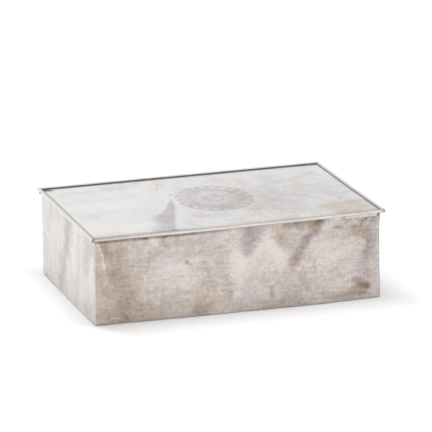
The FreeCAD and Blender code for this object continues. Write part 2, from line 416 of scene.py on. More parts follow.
# Tarnish, and painted light: most lines with a negative amount are painted highlights along ridges and
# creases.
FRONT_STROKES = [
    # the middle line of a stain, its half width, amount and tint
    ([(9.5, 73.0), (9.8, 59.0)], 7.5, 0.4, 1.0),
    ([(2.0, 71.5), (17.0, 70.0)], 4.0, 0.14, 0.8),
    ([(24.7, 66.0), (27.0, 54.0), (39.0, 44.0)], 7.5, -0.42, 0.2),
    ([(23.0, 60.0), (14.0, 51.0), (4.0, 42.0)], 6.5, -0.22, 0.2),
    ([(40.0, 71.4), (69.0, 71.0)], 3.0, 0.34, -0.5),
    ([(71.0, 73.5), (66.5, 66.0), (59.5, 59.5), (56.0, 48.0), (50.0, 41.0)], 5.6, 0.58, -0.2),
    ([(64.0, 72.5), (72.0, 73.5)], 3.0, 0.25, -0.3),
    ([(106.5, 18.0), (112.0, 14.5), (118.0, 11.5)], 3.6, 0.58, -0.3),
    ([(106.5, 12.0), (116.5, 11.0)], 3.6, 0.4, -0.3),
    ([(101.0, 9.0), (113.0, 6.5)], 5.0, 0.2, -0.8),
    ([(110.0, 5.5), (115.0, 6.0)], 1.6, 0.45, -0.4),
    ([(42.2, 41.3), (54.9, 25.6), (60.0, 17.0)], 3.0, 0.3, 0.4),
    ([(-12.0, 35.0), (-12.5, 16.0)], 4.5, 0.2, 0.0),
    ([(-2.0, 48.5), (-3.0, 19.5)], 9.0, -0.25, 0.1),
    ([(116.0, 43.0), (116.0, 20.0)], 6.0, 0.3, 1.2),
    ([(108.0, 63.0), (118.0, 56.0)], 5.5, 0.3, -0.8),
    ([(76.5, 6.0), (94.0, 5.0)], 4.5, 0.2, -0.4),
    ([(28.3, 19.0), (29.3, 12.0)], 2.4, 0.6, 0.1),
    ([(68.8, 38.5), (70.0, 31.0)], 3.0, 0.22, 0.0),
    ([(103.0, 74.0), (97.0, 69.8)], 1.1, 0.55, 0.2),
    ([(94.0, 74.2), (96.5, 73.6)], 1.4, 0.6, 0.2),
    ([(111.0, 71.0), (118.5, 73.0)], 1.5, 0.6, 0.2),
    ([(112.0, 68.5), (116.0, 71.5)], 1.0, 0.5, 0.2),
    ([(122.0, 72.0), (128.0, 72.4)], 1.2, 0.5, 0.2),
    ([(120.0, 69.6), (126.0, 69.0)], 1.2, 0.35, 0.2),
    ([(86.0, 67.5), (94.0, 66.6)], 1.6, 0.5, -0.3),
    ([(106.0, 66.5), (114.0, 66.8)], 1.2, 0.4, 0.0),
    ([(-48.6, 49.7), (-47.4, 49.2)], 1.5, 0.9, 0.0),
    ([(-47.0, 48.6), (-43.3, 42.9)], 1.2, 0.35, 0.0),
    ([(28.9, 23.6), (29.6, 23.4)], 1.5, -0.8, 0.0),
    ([(-116.0, 6.0), (-108.0, 5.2)], 1.0, -0.7, 0.0),
    ([(-106.0, 9.0), (-101.0, 4.0)], 1.6, 0.5, 0.0),
    ([(-88.4, 34.0), (-88.2, 25.0)], 1.0, -0.35, 0.0),
    ([(-86.0, 41.0), (-85.8, 18.0)], 1.0, -0.25, 0.0),
    ([(-100.0, 48.9), (-93.5, 48.3)], 0.8, -0.4, 0.0),
]
LEFT_CREASE = [
    # x and z down the wall
    (-127.2, 76.0),
    (-126.8, 74.0),
    (-121.8, 61.6),
    (-120.5, 48.0),
    (-121.0, 38.0),
    (-122.0, 0.0),
]
RIGHT_CREASE = [(122.0, 76.0), (121.0, 38.0), (121.3, 0.0)]
DIAGONAL_RIDGE = [(-31.0, 44.0), (-32.7, 37.0), (-36.9, 23.0), (-44.4, 5.0)]
SPOT_CORE = 0.25
SPOT_END = 1.35
FULL_RAG = 8.0


def oval_share(x, y, spot_x, spot_y, half_x, half_y):
    """1 in the middle of an oval spot, falling away past its edge."""
    reach = math.hypot((x - spot_x) / half_x, (y - spot_y) / half_y)
    return 1.0 - smooth_step(SPOT_CORE, SPOT_END, reach)


def ragged(x, y, size, amount):
    """A place moved a little each way, so that a stain's edge is ragged."""
    aside = noise.noise(Vector((x / size, y / size, 3.7)))
    upward = noise.noise(Vector((x / size, y / size, 9.2)))
    return x + aside * amount, y + upward * amount


def line_distance(x, y, line):
    """How far a place is from a broken line."""
    spot = Vector((x, y))
    nearest = math.inf
    for start, end in zip(line, line[1:]):
        run = Vector(end) - Vector(start)
        share = (spot - Vector(start)).dot(run) / run.length_squared
        foot = Vector(start) + run * min(max(share, 0.0), 1.0)
        nearest = min(nearest, (spot - foot).length)
    return nearest


def crossing(height, line):
    """Where a broken line that runs down the wall lies at a height."""
    for (x_a, z_a), (x_b, z_b) in zip(line, line[1:]):
        if z_b <= height <= z_a:
            return x_a + (x_b - x_a) * (z_a - height) / (z_a - z_b)
    return line[0][0] if height > line[0][1] else line[-1][0]


def dented(x, z, dents):
    """How far the dents and swells of a list move the sheet out at a place."""
    out = 0.0
    for at_x, at_z, half_x, half_z, deep in dents:
        out += deep * oval_share(x, z, at_x, at_z, half_x, half_z)
    return out


def stained(x, z, stains, strokes=()):
    """How much tarnish the stains with their ragged edges lay down at a place, and its tint."""
    clean = (x, z)
    x, z = ragged(x, z, 17.0, 6.0)
    x, z = ragged(x, z, 5.0, 2.4)
    amount = 0.0
    tint = 0.0
    for at_x, at_z, half_x, half_z, more, mauve in stains:
        share = oval_share(x, z, at_x, at_z, half_x, half_z)
        amount += more * share
        tint += mauve * share
    for line, half, more, mauve in strokes:
        spot = Vector(clean).lerp(Vector((x, z)), min(half / FULL_RAG, 1.0))
        share = 1.0 - smooth_step(SPOT_CORE, SPOT_END, line_distance(*spot, line) / half)
        amount += more * share
        tint += mauve * share
    return amount, tint


def crumple(x, z):
    """A handled sheet's soft facets: 0 in the creases between them, up to about 1 on their swells."""
    large = abs(noise.noise(Vector((x / 34.0 + z / 90.0, z / 30.0, 8.1))))
    small = abs(noise.noise(Vector((x / 15.0, z / 14.0 - x / 60.0, 2.4))))
    return large + 0.45 * small


def end_fade(x, half):
    """1 along the wall, falling to 0 at its soldered corners."""
    return 1.0 - smooth_step(half - 7.0, half - 1.0, abs(x))


def front_relief(x, z):
    """How far the front wall stands out of its plane."""
    out = front_bulge(x) * (1.0 - 0.85 * z / WALL_HEIGHT)
    left = x - crossing(z, LEFT_CREASE)
    right = crossing(z, RIGHT_CREASE) - x
    left_facet = smooth_step(-4.5, 1.0, left) * (1.0 - smooth_step(2.0, 45.0, left))
    right_facet = smooth_step(-3.0, 0.5, right) * (1.0 - smooth_step(2.0, 35.0, right))
    out -= LEFT_FACET_DEPTH * left_facet * smooth_step(8.0, 40.0, z) + RIGHT_FACET_DEPTH * right_facet
    out += RIDGE_HEIGHT * math.exp(-line_distance(x, z, DIAGONAL_RIDGE) / RIDGE_REACH)
    held = smooth_step(0.0, 14.0, WALL_HEIGHT - z)
    dents = dented(x, z, FRONT_DENTS) + CRUMPLE_HEIGHT * crumple(x, z)
    return (out + held * dents) * end_fade(x, BOX_HALF_LENGTH)


def front_film(x, z, depth):
    if depth > 0:
        return inside_film(x, z)
    amount, tint = stained(x, z, FRONT_STAINS, FRONT_STROKES)
    # Lighter on the swells of the crumpled sheet and darker in the creases between them: partly wear,
    # partly painted shade of the facets.
    amount += FRONT_FILM + CRUMPLE_WEAR_AND_SHADE * (CRUMPLE_MEAN - crumple(x, z))
    # Painted shade: the sheet just right of the diagonal ridge is darker, as the side of the ridge turned
    # from the light.
    ridge = x - crossing(min(max(z, 5.0), 44.0), DIAGONAL_RIDGE)
    ridge_shaded_side = smooth_step(-0.8, 0.8, ridge) * (1.0 - smooth_step(4.0, 22.0, ridge))
    amount += RIDGE_SIDE_SHADE * ridge_shaded_side * (1.0 - smooth_step(32.0, 44.0, z))
    # Painted highlight: the bent facet beside the left crease, on its corner side, is lighter, most in a
    # line along the crease in the upper wall.
    facet = crossing(z, LEFT_CREASE) - x
    on_facet = smooth_step(-0.5, 0.5, facet) * smooth_step(42.0, 54.0, z)
    amount -= on_facet * (0.6 - 0.5 * smooth_step(0.8, 3.5, facet))
    strip = smooth_step(-0.5, 0.5, x - crossing(z, RIGHT_CREASE)) * (1.0 - smooth_step(36.0, 40.0, z))
    amount += strip * (STRIP_FILM - amount) * 0.8
    # Painted shade: the lowest 1.5 mm of the wall is darker and more mauve, along the line where it meets
    # its shadow on the table.
    foot = 1.0 - smooth_step(0.5, 1.5, z)
    amount += FOOT_SHADE_PAINT * foot
    tint += foot
    # Painted shadow: a dark band along the top of the wall under the rim, strongest at the left end and
    # gone towards the right end.
    rim_shadow_strength = 1.35 - 1.1 * smooth_step(-40.0, 10.0, x) + 0.6 * smooth_step(35.0, 55.0, x)
    painted_rim_shadow = smooth_step(72.4, 73.4, z) * rim_shadow_strength * (1.0 - smooth_step(75.0, 90.0, x))
    # Painted highlight: the top edge of the wall towards its right end, under the rim, is made lighter
    # where it catches the light.
    painted_top_highlight = smooth_step(73.4, 74.0, z) * smooth_step(75.0, 90.0, x)
    # Painted reflection: the filed-round right corner is painted as a greyer, mauve strip for how it
    # reflects.
    corner = smooth_step(126.6, 127.6, x)
    amount += corner * (0.5 + 0.5 * smooth_step(128.2, 128.8, x) - amount)
    tint += 2.5 * corner
    # Painted shadow: a dark spot at the top of the right corner, in the gap under the rim.
    painted_corner_shadow = smooth_step(126.4, 127.6, x) * smooth_step(73.0, 73.8, z)
    amount += RIM_SHADOW_PAINT * painted_rim_shadow - TOP_EDGE_HIGHLIGHT * painted_top_highlight
    return amount + CORNER_SHADOW_PAINT * painted_corner_shadow, tint


def inside_film(x, z):
    """Tarnish inside the box, and darker towards the bottom."""
    return INSIDE_FILM + INSIDE_LOW_FILM * (1.0 - smooth_step(0.0, 18.0, z)), 0.0


def stand_wall(name, node, turn, half, offset, relief, film, finish):
    """One wall: a sheet with its ends curled round the box's corners, turned to its side of the box."""
    straight = half - CORNER_ROUND
    curl = CORNER_ROUND * math.pi / 4
    loops = [side * (straight + curl * part / 3) for side in (-1, 1) for part in range(3)]
    width = 2 * (straight + curl)
    columns = round(width / WALL_PITCH)
    rows = round(WALL_HEIGHT / WALL_PITCH)
    wall = flat_sheet(width, WALL_HEIGHT, SHEET, columns, rows, loops, FOOT_LOOPS)
    to_side = Matrix.Rotation(math.radians(turn), 3, "Z")

    def place(x, y, depth):
        z = y + WALL_HEIGHT / 2
        past = max(abs(x) - straight, 0.0) / CORNER_ROUND
        reach = CORNER_ROUND - depth
        across = math.copysign(min(abs(x), straight) + reach * math.sin(past), x)
        inward = CORNER_ROUND - reach * math.cos(past) - relief(across, z) * (past == 0)
        if depth == 0:
            under = max(1.0 - z / FOOT_HEIGHT, 0.0)
            inward += FOOT_ROUND * (1.0 - math.sqrt(1.0 - under * under))
        return knocked(to_side @ Vector((across, inward - offset, z)))

    form_sheet(wall, place, lambda x, y, depth: film(x, y + WALL_HEIGHT / 2, depth))
    stand_piece(name, wall, "box", node, finish)


body_finish = silver_finish(
    "tarnished silver of the body", BODY_COLOURS,
    mottle=0.66, pits=0.5, roughness=0.25, dulling=0.14, grain=1.6,
)
stand_wall(
    "front_wall_sheet", "front_wall", 0, BOX_HALF_LENGTH, BOX_HALF_DEPTH,
    front_relief, front_film, body_finish,
)


# RIGHT WALL
# The same sheet silver, soldered to its neighbours at the mitred corners. It is dented a little in its
# middle and browner towards the bottom; the polishing on the ends ran upright.
END_COLOURS = [(0.79, 0.758, 0.731), (0.56, 0.475, 0.42), (0.55, 0.495, 0.495), (0.22, 0.17, 0.13)]
STREAKS_UPRIGHT = (700.0, 500.0, 16.0)
WIPED_UPRIGHT = (115.0, 100.0, 48.0)
END_FILM = 0.3
RIGHT_DENTS = [
    (-20.0, 40.0, 26.0, 22.0, -0.9),
    (38.0, 30.0, 18.0, 24.0, 0.6),
    (60.0, 62.0, 14.0, 9.0, -0.3),
]
RIGHT_STAINS = [
    (-50.0, 20.0, 24.0, 18.0, 0.4, -0.5),
    (30.0, 55.0, 20.0, 14.0, 0.3, 0.6),
    (0.0, 3.0, 70.0, 7.0, 0.3, -0.2),
]


def end_relief(y, z, dents):
    """How far an end wall stands out of its plane: an even bulge at its foot, and its dents."""
    out = plain_bulge(END_BULGE, y / BOX_HALF_DEPTH) * (1.0 - z / WALL_HEIGHT)
    held = smooth_step(0.0, 14.0, WALL_HEIGHT - z)
    return (out + held * dented(y, z, dents)) * end_fade(y, BOX_HALF_DEPTH)


def right_relief(y, z):
    return end_relief(y, z, RIGHT_DENTS)


def right_film(y, z, depth):
    if depth > 0:
        return inside_film(y, z)
    amount, tint = stained(y, z, RIGHT_STAINS)
    return amount + END_FILM, tint


end_finish = silver_finish(
    "tarnished silver of the ends", END_COLOURS,
    mottle=0.6, pits=0.3, roughness=0.3, dulling=0.12,
    streaks=STREAKS_UPRIGHT, wiped=WIPED_UPRIGHT, grain=1.5,
)
stand_wall(
    "right_wall_sheet", "right_wall", 90, BOX_HALF_DEPTH, BOX_HALF_LENGTH,
    right_relief, right_film, end_finish,
)


# BACK WALL
# The same sheet silver again, soldered at the corners, with shallow dents below. The strip that carries
# the hinge is soldered along its top, so the sheet stays straight there, and it is darker in a band under
# it.
BACK_FILM = 0.38
BACK_DENTS = [
    (-70.0, 36.0, 34.0, 24.0, -0.8),
    (40.0, 28.0, 40.0, 20.0, 0.7),
    (95.0, 45.0, 16.0, 16.0, -0.5),
]
BACK_STAINS = [
    (-60.0, 30.0, 40.0, 20.0, -0.2, 0.0),
    (20.0, 50.0, 30.0, 14.0, 0.35, 0.7),
    (100.0, 20.0, 22.0, 16.0, 0.5, -0.6),
    (-110.0, 50.0, 16.0, 20.0, 0.4, 0.0),
    (0.0, 66.0, 130.0, 4.0, 0.35, -0.3),
    (0.0, 3.0, 120.0, 7.0, 0.3, -0.3),
]


def back_relief(x, z):
    along = x / BOX_HALF_LENGTH
    out = plain_bulge(BACK_BULGE, along) * (1.0 - z / WALL_HEIGHT)
    held = smooth_step(14.0, 28.0, WALL_HEIGHT - z)
    return (out + held * dented(x, z, BACK_DENTS)) * end_fade(x, BOX_HALF_LENGTH)


def back_film(x, z, depth):
    if depth > 0:
        return inside_film(x, z)
    amount, tint = stained(x, z, BACK_STAINS)
    # Lighter on the swells and darker in the creases between them: partly wear, partly painted shade of
    # the facets.
    return amount + BACK_FILM + CRUMPLE_WEAR_AND_SHADE * (CRUMPLE_MEAN - crumple(x, z)), tint


stand_wall(
    "back_wall_sheet", "back_wall", 180, BOX_HALF_LENGTH, BOX_HALF_DEPTH,
    back_relief, back_film, body_finish,
)


# LEFT WALL
# The same sheet silver, soldered at the corners. It is the cleanest wall, pale with faint upright
# streaks and one greyer patch that runs down from the rim.
LEFT_FILM = 0.25
LEFT_DENTS = [
    (-2.0, 62.0, 12.0, 14.0, -0.4),
    (40.0, 30.0, 22.0, 24.0, -0.6),
    (-45.0, 35.0, 20.0, 26.0, 0.6),
]
LEFT_STAINS = [
    (51.0, 8.0, 12.0, 8.0, 0.25, 0.4),
    (-48.0, 66.0, 5.0, 9.0, 0.28, -0.3),
    (-62.0, 25.0, 12.0, 14.0, 0.12, 0.0),
    (62.0, 12.0, 16.0, 14.0, 0.2, -0.4),
    (20.0, 20.0, 16.0, 20.0, 0.12, -0.8),
]
LEFT_STROKES = [
    ([(2.0, 74.0), (1.0, 62.0), (-2.0, 47.0), (-17.0, 29.0), (-20.0, 12.0)], 11.0, 0.43, 0.9),
    ([(22.0, 74.0), (18.0, 33.0)], 6.0, -0.25, 0.0),
    ([(62.0, 74.0), (60.0, 60.0), (54.0, 44.0)], 12.0, 0.38, 1.0),
    ([(70.0, 52.0), (69.0, 20.0)], 6.0, -0.1, -0.8),
    ([(34.0, 52.0), (31.0, 26.0)], 3.0, 0.18, -0.4),
]


def left_relief(y, z):
    return end_relief(y, z, LEFT_DENTS)


def left_film(y, z, depth):
    if depth > 0:
        return inside_film(y, z)
    amount, tint = stained(y, z, LEFT_STAINS, LEFT_STROKES)
    corner = smooth_step(74.0, 78.5, y)
    return amount + LEFT_FILM + 0.2 * corner, tint + 0.6 * corner


stand_wall(
    "left_wall_sheet", "left_wall", 270, BOX_HALF_DEPTH, BOX_HALF_LENGTH,
    left_relief, left_film, end_finish,
)


# HINGE BEARER, BOX KNUCKLES AND PIN
# All of silver: the grooved strip soldered along the back wall, the tube knuckles soldered in its
# seats, and the wire pin, hammered to a head at both ends. The CAD shapes stand, painted dark:
# partly old grime, partly the shade they sit in under the rim.
HINGE_COLOURS = [(0.64, 0.60, 0.56), (0.37, 0.31, 0.265), (0.40, 0.36, 0.34), (0.15, 0.115, 0.09)]
PIN_COLOURS = [(0.48, 0.45, 0.42), (0.22, 0.18, 0.15), (0.20, 0.18, 0.17), (0.07, 0.055, 0.045)]
hinge_finish = silver_finish(
    "hinge silver", HINGE_COLOURS,
    amount=0.45, mottle=0.7, pits=0.5, roughness=0.28, dulling=0.2,
)
pin_finish = silver_finish(
    "pin silver", PIN_COLOURS,
    amount=0.6, mottle=0.6, pits=0.5, roughness=0.3, dulling=0.2,
)


def finish_nodes(finish, *names):
    for name in names:
        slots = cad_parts[name].data.materials
        slots.clear()
        slots.append(finish)


finish_nodes(hinge_finish, "hinge_bearer", *["box_knuckle_%d" % n for n in range(1, 6)])
finish_nodes(pin_finish, "hinge_pin")


# LID PLATE
# A flat sheet of silver, soldered into the rim that frames it. It has buckled: a fold runs from its
# middle to the front edge, and the right front corner is sprung up a little. A rosette is engraved
# near its middle.
LID_PAST_WALLS = 1.8
RIM_PAST_WALLS = 0.6
LID_HALF_LENGTH = BOX_HALF_LENGTH + LID_PAST_WALLS
LID_HALF_DEPTH = BOX_HALF_DEPTH + LID_PAST_WALLS
LID_SHEET = 1.0
LID_UNDER = WALL_HEIGHT
LID_PITCH = 1.6
LID_INSIDE_X = BOX_HALF_LENGTH + RIM_PAST_WALLS
LID_INSIDE_Y = BOX_HALF_DEPTH + RIM_PAST_WALLS
CREVICE_LOOPS = (-129.5, -128.9, -128.3)
CORNER_SPRING = 0.9
FOLD_LEFT = [(-30.5, 15.7), (-42.9, -7.1), (-53.6, -24.7), (-62.5, -35.0), (-74.0, -67.0)]
FOLD_RIGHT = [(-30.5, 15.7), (-31.5, 5.2), (-37.1, -17.2), (-46.3, -46.0), (-53.4, -67.0)]
FOLD_DROP = 0.6
ROSETTE_CENTRE = (6.5, 6.5)
ROSETTE_HALF_X = 34.0
ROSETTE_HALF_Y = 40.0
ROSETTE_CUTS = 4
ROSETTE_R = 34.0
LEAF_COUNT = 20
LEAF_FOOT_R = 23.2
LEAF_LENGTH = 9.2
LEAF_HALF = 4.3
PETAL_COUNT = 16
PETAL_TIP_R = 22.0
PETAL_HALF = 2.9
EYE_R = 6.6
EYE_RING_R = 4.4
EYE_DOT_R = 2.0
RINGS = (33.4, 32.2, LEAF_FOOT_R, PETAL_TIP_R, EYE_R, EYE_RING_R, EYE_DOT_R)
LINE_HALF = 0.45
CUT_DEPTH = 0.22
LEAF_GROUND = 0.85
LEAF_GAP_GROUND = 0.45
EYE_GROUND = 0.8
EYE_RING_GROUND = 0.45
PETAL_GROUND = 0.45
BACK_PETAL_GROUND = 0.75
WAVE_HEIGHT = 0.12
WAVE_LENGTH = 19.0
LID_FILM = 0.1
LEFT_CREVICE_SHADE_AND_DIRT = 1.5
CREVICE_SHADE_AND_DIRT = 0.3
FRONT_EDGE_SHADE = 0.12
RIM_SHADE = 0.25
LEFT_RIM_SHADE = 0.35
FOLD_REFLECTION_PAINT = 0.56
FOLD_REFLECTION_FADE = 0.04
UNDERSIDE_FILM = 0.15
CUT_FILM = 0.42
GROUND_FILM = 0.22
LID_WIPED = (75.0, 45.0, 45.0)
LID_COLOURS = [(0.905, 0.897, 0.885), (0.53, 0.425, 0.335), (0.53, 0.488, 0.485), (0.19, 0.15, 0.12)]
LID_STAINS = [
    (110.0, -60.0, 34.0, 24.0, 0.36, -2.4),
    (118.0, -18.0, 18.0, 40.0, 0.1, 0.6),
    (20.0, 58.0, 90.0, 22.0, 0.12, 0.0),
    (-127.0, 77.0, 7.0, 5.0, 1.6, -0.8),
    (115.0, 57.0, 2.2, 2.2, 0.8, 0.0),
    (80.0, 0.0, 60.0, 70.0, 0.31, 0.0),
    (10.0, -20.0, 70.0, 70.0, 0.15, 0.0),
    (-85.0, 0.0, 45.0, 70.0, -0.05, 0.0),
    (20.0, -45.0, 60.0, 25.0, 0.17, 0.2),
    (-30.6, 37.0, 4.0, 7.0, -0.3, 0.0),
    (-26.7, 29.3, 1.8, 1.8, 0.6, 0.0),
]
LID_STROKES = [
    ([(-16.0, 45.0), (-4.5, 38.0)], 8.0, 0.14, 1.5),
    ([(-28.0, 64.0), (-33.0, 48.0)], 1.6, 0.16, 0.5),
    ([(-118.0, 60.0), (-60.0, 66.0)], 7.0, 0.12, -0.4),
    ([(-108.0, 28.0), (-62.0, 32.0)], 6.0, 0.1, 0.0),
    ([(-112.0, -12.0), (-74.0, -6.0)], 7.0, 0.11, -0.4),
    ([(-98.0, -40.0), (-66.0, -38.0)], 6.0, 0.1, 0.3),
]


def fold_shares(x, y):
    """How far a place lies across the fold, 0 to 1 between its creases, how far down it, and past it."""
    top = FOLD_LEFT[0][1]
    down = (top - y) / (top - FOLD_LEFT[-1][1])
    left = crossing(y, FOLD_LEFT)
    right = crossing(y, FOLD_RIGHT)
    return (x - left) / max(right - left, 0.01), down, x - right


def lid_warp(x, y):
    """How far the lid is out of flat. It is flat along the hinge."""
    right = smooth_step(-40.0, 134.0, x)
    front = smooth_step(-84.0, 84.0, -y)
    lift = CORNER_SPRING * right**2 * front**2
    wave = WAVE_HEIGHT * math.sin(x / WAVE_LENGTH + 0.8) * front**3
    return lift + wave


def lid_buckle(x, y):
    """The fold: the sheet steps down between two creases and climbs slowly back to the right."""
    across, down, past = fold_shares(x, y)
    if down <= 0:
        return 0.0
    inside = smooth_step(0.0, 0.8, down) * (1.0 - smooth_step(0.7, 1.15, down))
    step = min(max(across, 0.0), 1.0)
    return -FOLD_DROP * inside * step * (1.0 - smooth_step(0.0, 70.0, past))


def near_line(away, half=LINE_HALF):
    """How deep a cut line is at a distance from its middle, from 1 to 0."""
    return max(0.0, 1.0 - abs(away) / half)


def rosette_cut(x, y):
    """The engraved oval rosette: how deep its leaves, petals and ringed eye are cut, and its ground."""
    x = (x - ROSETTE_CENTRE[0]) / ROSETTE_HALF_X
    y = (y - ROSETTE_CENTRE[1]) / ROSETTE_HALF_Y
    r = ROSETTE_R * math.hypot(x, y)
    if r > ROSETTE_R:
        return 0.0, 0.0
    angle = math.atan2(y, x)
    cuts = [near_line(r - ring) for ring in RINGS]
    ground = 1.0
    if r > LEAF_FOOT_R:
        turn = 2 * math.pi / LEAF_COUNT
        side = abs((angle / turn) % 1.0 - 0.5) * turn * r
        edge = LEAF_HALF * max(1.0 - (r - LEAF_FOOT_R) / LEAF_LENGTH, 0.0) ** 0.5
        ground = LEAF_GROUND if side < edge else LEAF_GAP_GROUND
        cuts.append(near_line(side - edge))
        cuts.append(near_line(side, 0.35) * ground)
        if side < edge:
            cuts.append(0.7 * near_line(((r * 0.8 - side * 0.7) / 1.3) % 1.0 - 0.5, 0.3))
    elif r < EYE_R:
        ground = EYE_RING_GROUND if r > EYE_RING_R else EYE_GROUND
    elif r < PETAL_TIP_R:
        turn = 2 * math.pi / PETAL_COUNT
        up = (r - EYE_R) / (PETAL_TIP_R - EYE_R)
        for shift, reach in ((0.0, 1.0), (0.5, 0.86)):
            side = abs((angle / turn + shift) % 1.0 - 0.5) * turn * r
            edge = PETAL_HALF * math.sin(math.pi * min(up / reach, 1.0)) ** 0.7
            cuts.append(near_line(side - edge))
            if side < edge:
                ground = min(ground, PETAL_GROUND if shift == 0.0 else BACK_PETAL_GROUND)
            if side < edge and shift == 0.0:
                cuts.append(0.5 * near_line((side / 1.1) % 1.0 - 0.5, 0.28))
            elif shift and side > edge:
                cuts.append(0.5 * near_line((r / 1.15) % 1.0 - 0.5, 0.3))
    return max(cuts), ground


def place_lid(x, y, depth):
    z = LID_UNDER + depth + lid_warp(x, y) + lid_buckle(x, y)
    if depth > 0:
        z -= CUT_DEPTH * rosette_cut(x, y)[0]
    return Vector((x, y, z))


def lid_film(x, y, depth):
    if depth == 0:
        return UNDERSIDE_FILM, 0.0
    # Darker in the crevice inside the rim, most along the left: partly grime there, partly painted shade.
    left_crevice = 1.0 - smooth_step(1.1, 2.2, x + LID_INSIDE_X)
    crevice = 1.0 - smooth_step(0.7, 2.4, min(LID_INSIDE_X - x, LID_INSIDE_Y - abs(y)))
    amount, tint = stained(x, y, LID_STAINS, LID_STROKES)
    amount += LID_FILM + max(LEFT_CREVICE_SHADE_AND_DIRT * left_crevice, CREVICE_SHADE_AND_DIRT * crevice)
    # Painted shade on the plate behind the front rim: a soft broad band, and a darker narrow one just
    # behind the wire, darker still towards the left.
    from_front = y + LID_INSIDE_Y
    amount += FRONT_EDGE_SHADE * (1.0 - smooth_step(4.0, 26.0, from_front))
    rim_shade = RIM_SHADE + LEFT_RIM_SHADE * (1.0 - smooth_step(-80.0, -10.0, x))
    amount += rim_shade * (1.0 - smooth_step(5.5, 10.0, from_front))
    # Painted reflection: the fold is darker and more mauve between its creases, for how its tilted sheet
    # reflects.
    across, down, _ = fold_shares(*ragged(x, y, 9.0, 0.5))
    if 0 < down < 1.2:
        soft_left = smooth_step(-0.05 - 0.4 * down, 0.1 + 0.45 * down, across)
        fold = soft_left * (1.0 - smooth_step(0.9, 1.06, across))
        amount += fold * (FOLD_REFLECTION_PAINT - FOLD_REFLECTION_FADE * smooth_step(0.3, 1.2, down))
        tint += fold
    cut, ground = rosette_cut(x, y)
    return amount + CUT_FILM * cut + GROUND_FILM * ground, tint + 0.6


lid_finish = silver_finish(
    "polished silver of the lid", LID_COLOURS,
    mottle=0.47, pits=0.2, roughness=0.12, dulling=0.2, wiped=LID_WIPED, grain=0.4,
)
lid_columns = round(2 * LID_HALF_LENGTH / LID_PITCH)
lid_rows = round(2 * LID_HALF_DEPTH / LID_PITCH)
lid = flat_sheet(2 * LID_HALF_LENGTH, 2 * LID_HALF_DEPTH, LID_SHEET, lid_columns, lid_rows, CREVICE_LOOPS)


def in_rosette(spot):
    """Whether a place on the upper side of the flat lid lies in the rosette or just outside it."""
    x = (spot.x - ROSETTE_CENTRE[0]) / (ROSETTE_HALF_X + 1)
    y = (spot.y - ROSETTE_CENTRE[1]) / (ROSETTE_HALF_Y + 1)
    return spot.z > 0 and x * x + y * y < 1.0


rosette_edges = [edge for edge in lid.edges if all(in_rosette(vert.co) for vert in edge.verts)]
bmesh.ops.subdivide_edges(lid, edges=rosette_edges, cuts=ROSETTE_CUTS, use_grid_fill=True)
form_sheet(lid, place_lid, lid_film)
stand_piece("lid_sheet", lid, "lid", "lid_plate", lid_finish, 0)


# LID RIM
# A round silver wire soldered round the plate and mitred at the corners, so that it overhangs the walls.
# The back length is hollowed for the hinge and keeps its CAD shape; the others are slightly wavy by hand.
WIRE_R = 1.5
WIRE_RISE = 1.1
WIRE_X = LID_INSIDE_X + WIRE_R
WIRE_Y = LID_INSIDE_Y + WIRE_R
WIRE_Z = LID_UNDER + WIRE_RISE
WIRE_SIDES = 24
WIRE_PITCH = 2.0
TIP_ROUND = 0.5
WANDER = 0.18
WANDER_SIZE = 23.0
UNDER_SHADE_AND_TARNISH = 0.5
MITRE_FILM = 0.8
RIM_COLOURS = [(0.83, 0.81, 0.785), (0.48, 0.42, 0.37), (0.50, 0.46, 0.44), (0.15, 0.12, 0.095)]
# The back rim's film colours are kept dark, partly painted shade, so that the rim reads as a dark line.
BACK_RIM_COLOURS = [(0.78, 0.765, 0.745), (0.2, 0.18, 0.165), (0.2, 0.19, 0.185), (0.1, 0.085, 0.07)]
BACK_SHADE_TOP = 0.0777
BACK_SHADE_TOP_EASE = 0.0004
BACK_SHADE_END = 0.0819
BACK_SHADE_END_EASE = 0.0006
BACK_SHADE_AMOUNT = 1.2
rim_finish = silver_finish(
    "rim silver", RIM_COLOURS,
    mottle=0.4, pits=0.3, roughness=0.32, dulling=0.15,
)
back_rim_finish = silver_finish(
    "back rim silver", BACK_RIM_COLOURS,
    amount=0.5, mottle=0.5, pits=0.4, roughness=0.2, dulling=0.2,
)


def drawn_wire(length):
    """A closed round wire along X, in short rings."""
    wire = bmesh.new()
    start = Matrix.Translation((-length / 2, 0, 0)) @ Matrix.Rotation(math.pi / 2, 4, "Y")
    bmesh.ops.create_circle(wire, segments=WIRE_SIDES, radius=WIRE_R, matrix=start)
    ring = wire.edges[:]
    steps = round(length / WIRE_PITCH)
    for _ in range(steps):
        drawn = bmesh.ops.extrude_edge_only(wire, edges=ring)["geom"]
        moved = [item for item in drawn if isinstance(item, bmesh.types.BMVert)]
        bmesh.ops.translate(wire, vec=(length / steps, 0, 0), verts=moved)
        ring = [item for item in drawn if isinstance(item, bmesh.types.BMEdge) and item.is_boundary]
    bmesh.ops.holes_fill(wire, edges=wire.edges[:])
    bmesh.ops.recalc_face_normals(wire, faces=wire.faces)
    return wire


